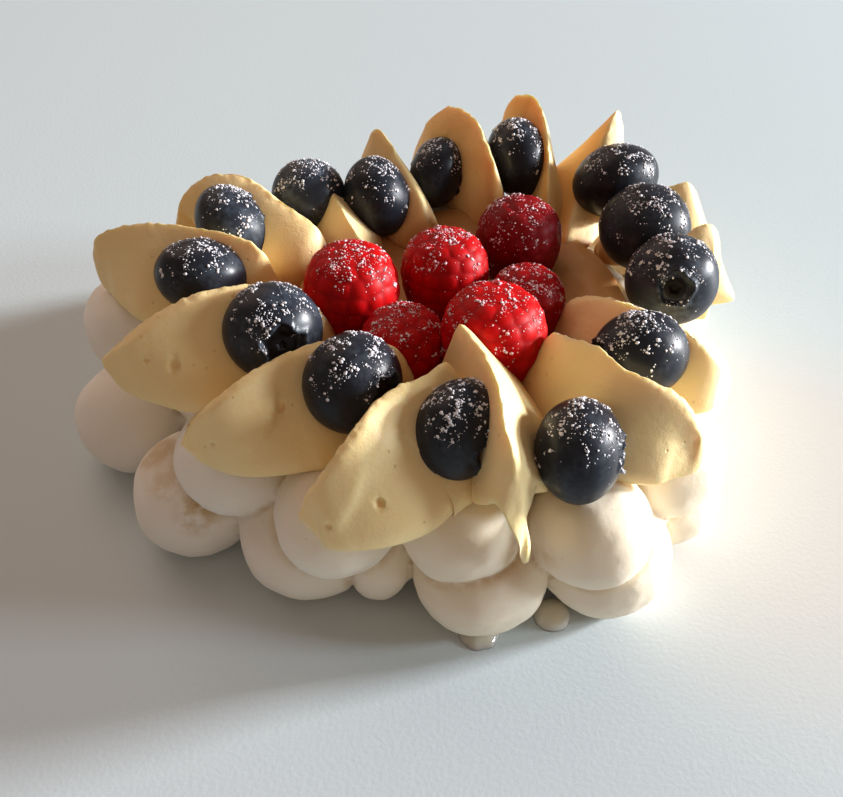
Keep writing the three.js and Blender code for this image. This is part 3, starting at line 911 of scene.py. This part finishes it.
def sugarPlaces(piece, look, rng):  # where crumbs lie on a berry, in mm, and which way is out
    crown = piece.data.attributes.get("inside")
    polygons = [polygon for polygon in piece.data.polygons if polygon.normal.z > -0.2
                and not (crown and crown.data[polygon.vertices[0]].value > 0.3)]
    weights = []
    for polygon in polygons:
        drift = smooth(ripple(polygon.center / mm, 3.2, 9.0), -0.3, 0.4)
        settled = 0.02 + smooth(polygon.normal.z, 0.0, 1.0) ** look["high"]
        weights.append(polygon.area * settled * (0.12 + drift))
    tree = bvhtree.BVHTree.FromPolygons([vertex.co for vertex in piece.data.vertices],
                                        [polygon.vertices for polygon in piece.data.polygons])
    places = []
    for polygon in rng.choices(polygons, weights, k=look["clumps"]):
        step = polygon.center.copy()
        for _ in range(rng.randint(*look["crumbs"])):
            places.append(tree.find_nearest(step)[:2])
            step = places[-1][0] + Vector([rng.gauss(0, sugarLook["clumpSpread"] * mm) for _ in range(3)])
    alone = rng.choices(polygons, weights, k=look["alone"])
    return places, [(polygon.center, polygon.normal) for polygon in alone]


def buildSugar(name, pieces, paint, kinds, seed):
    look, rng = sugarLook[name], random.Random(seed)
    low, high = sugarLook["crumb"]
    points, faces = [], []
    for piece in pieces:
        clumped, alone = sugarPlaces(piece, look, rng)
        for i, (place, out) in enumerate(clumped + alone):
            corners, sides = kinds[rng.randrange(len(kinds))]
            largest = high if i < len(clumped) else mix(low, high, sugarLook["aloneLargest"])
            size = mix(low, largest, rng.random() ** sugarLook["smallness"]) * mm
            turn = turnedTo(out) @ Matrix.Rotation(rng.uniform(0, math.tau), 3, "Z")
            start = len(points)
            points.extend(place + out * size * 0.2 + turn @ corner * size for corner in corners)
            faces.extend([start + i for i in side] for side in sides)
    mesh = bpy.data.meshes.new(name)
    mesh.from_pydata(points, [], faces)
    putMesh(mesh, name, paint, [])
    print(name, len(faces), "faces")


stageLook = {
    "floor": 6.0,
    "lamps": {  # size across and up; a low window, a paler patch of sky beside it and the room's far side
        "key": {"size": (0.32, 0.27), "around": 12, "up": 11.8, "power": 138.0, "colour": (0.93, 0.93, 0.95)},
        "sky": {"size": (0.4, 0.4), "around": -5, "up": 19, "power": 31.0, "colour": (0.72, 0.80, 0.86)},
        "fill": {"size": (2.0, 2.0), "around": 125, "up": 45, "power": 14.0, "colour": (1.0, 0.76, 0.64)},
    },
    "lampDistance": 2.4,
    "lampAim": 0.02,  # the height that the lamps point at
    "ambient": (0.25, 0.177, 0.137),
    "wall": (0.56, 0.58, 0.59),
    # A pool of light painted on the floor right of the object: its middle and reach.
    "paintedGlare": (0.072, -0.02),
    "paintedGlareReach": (0.02, 0.06),
}
cameraLook = {"at": (-7.2, -136.7, 137.0), "down": 44.07, "lens": 39.97, "sensor": 36.0}


def floorPaint():
    paint = Paint("table")
    # Painted shade: the floor darker towards the front.
    paintedFrontShade = paint.step(paint.node("ShaderNodeSeparateXYZ", {}, {0: paint.place}, "Y"), 0.05, -0.12)
    # Painted light: the floor paler in that pool.
    away = paint.node("ShaderNodeVectorMath", {"operation": "DISTANCE"},
                      {0: paint.place, 1: (*stageLook["paintedGlare"], 0)}, "Value")
    paintedGlare = paint.step(away, *reversed(stageLook["paintedGlareReach"]))
    grain = paint.blend(paint.noise(1.2, 3.0), colour(0.61, 0.73, 0.78), colour(0.64, 0.76, 0.81))
    table = paint.blend(paintedFrontShade, grain, colour(0.59, 0.68, 0.73))
    paint.set(
        base_color=paint.blend(paintedGlare, table, colour(0.69, 0.71, 0.70)),
        roughness=0.55,
        normal=paint.bump(paint.noise(0.8, 3.0), 0.2, 0.15),
    )
    return paint.material


def buildStage():
    shape = bmesh.new()
    bmesh.ops.create_grid(shape, x_segments=4, y_segments=4, size=stageLook["floor"] / 2)
    mesh = bpy.data.meshes.new("table")
    shape.to_mesh(mesh)
    shape.free()
    mesh.materials.append(floorPaint())
    table = bpy.data.objects.new("table", mesh)
    bpy.context.scene.collection.objects.link(table)

    for name, look in stageLook["lamps"].items():
        around, up = math.radians(look["around"]), math.radians(look["up"])
        way = Vector((math.cos(around) * math.cos(up), math.sin(around) * math.cos(up), math.sin(up)))
        lamp = bpy.data.lights.new(name, "AREA")
        lamp.shape = "RECTANGLE"
        lamp.size, lamp.size_y = look["size"]
        lamp.energy = look["power"]
        lamp.color = look["colour"]
        light = bpy.data.objects.new(name, lamp)
        light.location = way * stageLook["lampDistance"] + Vector((0, 0, stageLook["lampAim"]))
        light.rotation_euler = way.to_track_quat("Z", "Y").to_euler()
        bpy.context.scene.collection.objects.link(light)

    world = bpy.data.worlds.new("room")
    world.use_nodes = True
    background = world.node_tree.nodes["Background"]
    # The camera sees a pale wall, and the object is lit by the room's own light.
    seen = world.node_tree.nodes.new("ShaderNodeLightPath")
    wall = world.node_tree.nodes.new("ShaderNodeMix")
    wall.data_type = "RGBA"
    wall.inputs[mixFirst].default_value = (*stageLook["ambient"], 1)
    wall.inputs[mixSecond].default_value = (*stageLook["wall"], 1)
    world.node_tree.links.new(seen.outputs["Is Camera Ray"], wall.inputs[mixFactor])
    world.node_tree.links.new(wall.outputs[mixResult], background.inputs["Color"])
    bpy.context.scene.world = world
    bpy.context.scene.view_settings.view_transform = "Standard"
    print("stage")


def buildCamera():
    look = cameraLook
    data = bpy.data.cameras.new("camera")
    data.lens = look["lens"]
    data.sensor_width = look["sensor"]
    data.sensor_fit = "HORIZONTAL"
    data.clip_start = 0.01
    camera = bpy.data.objects.new("camera", data)
    camera.location = toFrame @ Vector(look["at"])
    camera.rotation_euler = (math.radians(90 - look["down"]), 0, 0)
    bpy.context.scene.collection.objects.link(camera)
    bpy.context.scene.camera = camera
    print("camera")


buildStage()
buildCamera()
buildMeringue()
cream = creamPaint()
buildPetals(cream)
buildBed(cream)
blueberryPieces = buildBlueberries()
raspberryPieces = buildRaspberries()
buildBeads()
crumbs = crumbKinds()
buildSugar("sugar_on_blueberries", blueberryPieces, sugarPaint("icing_sugar", (0.66, 0.66, 0.72)), crumbs, 41)
buildSugar("sugar_on_raspberries", raspberryPieces, sugarPaint("damp_sugar", (0.72, 0.30, 0.34)), crumbs, 42)
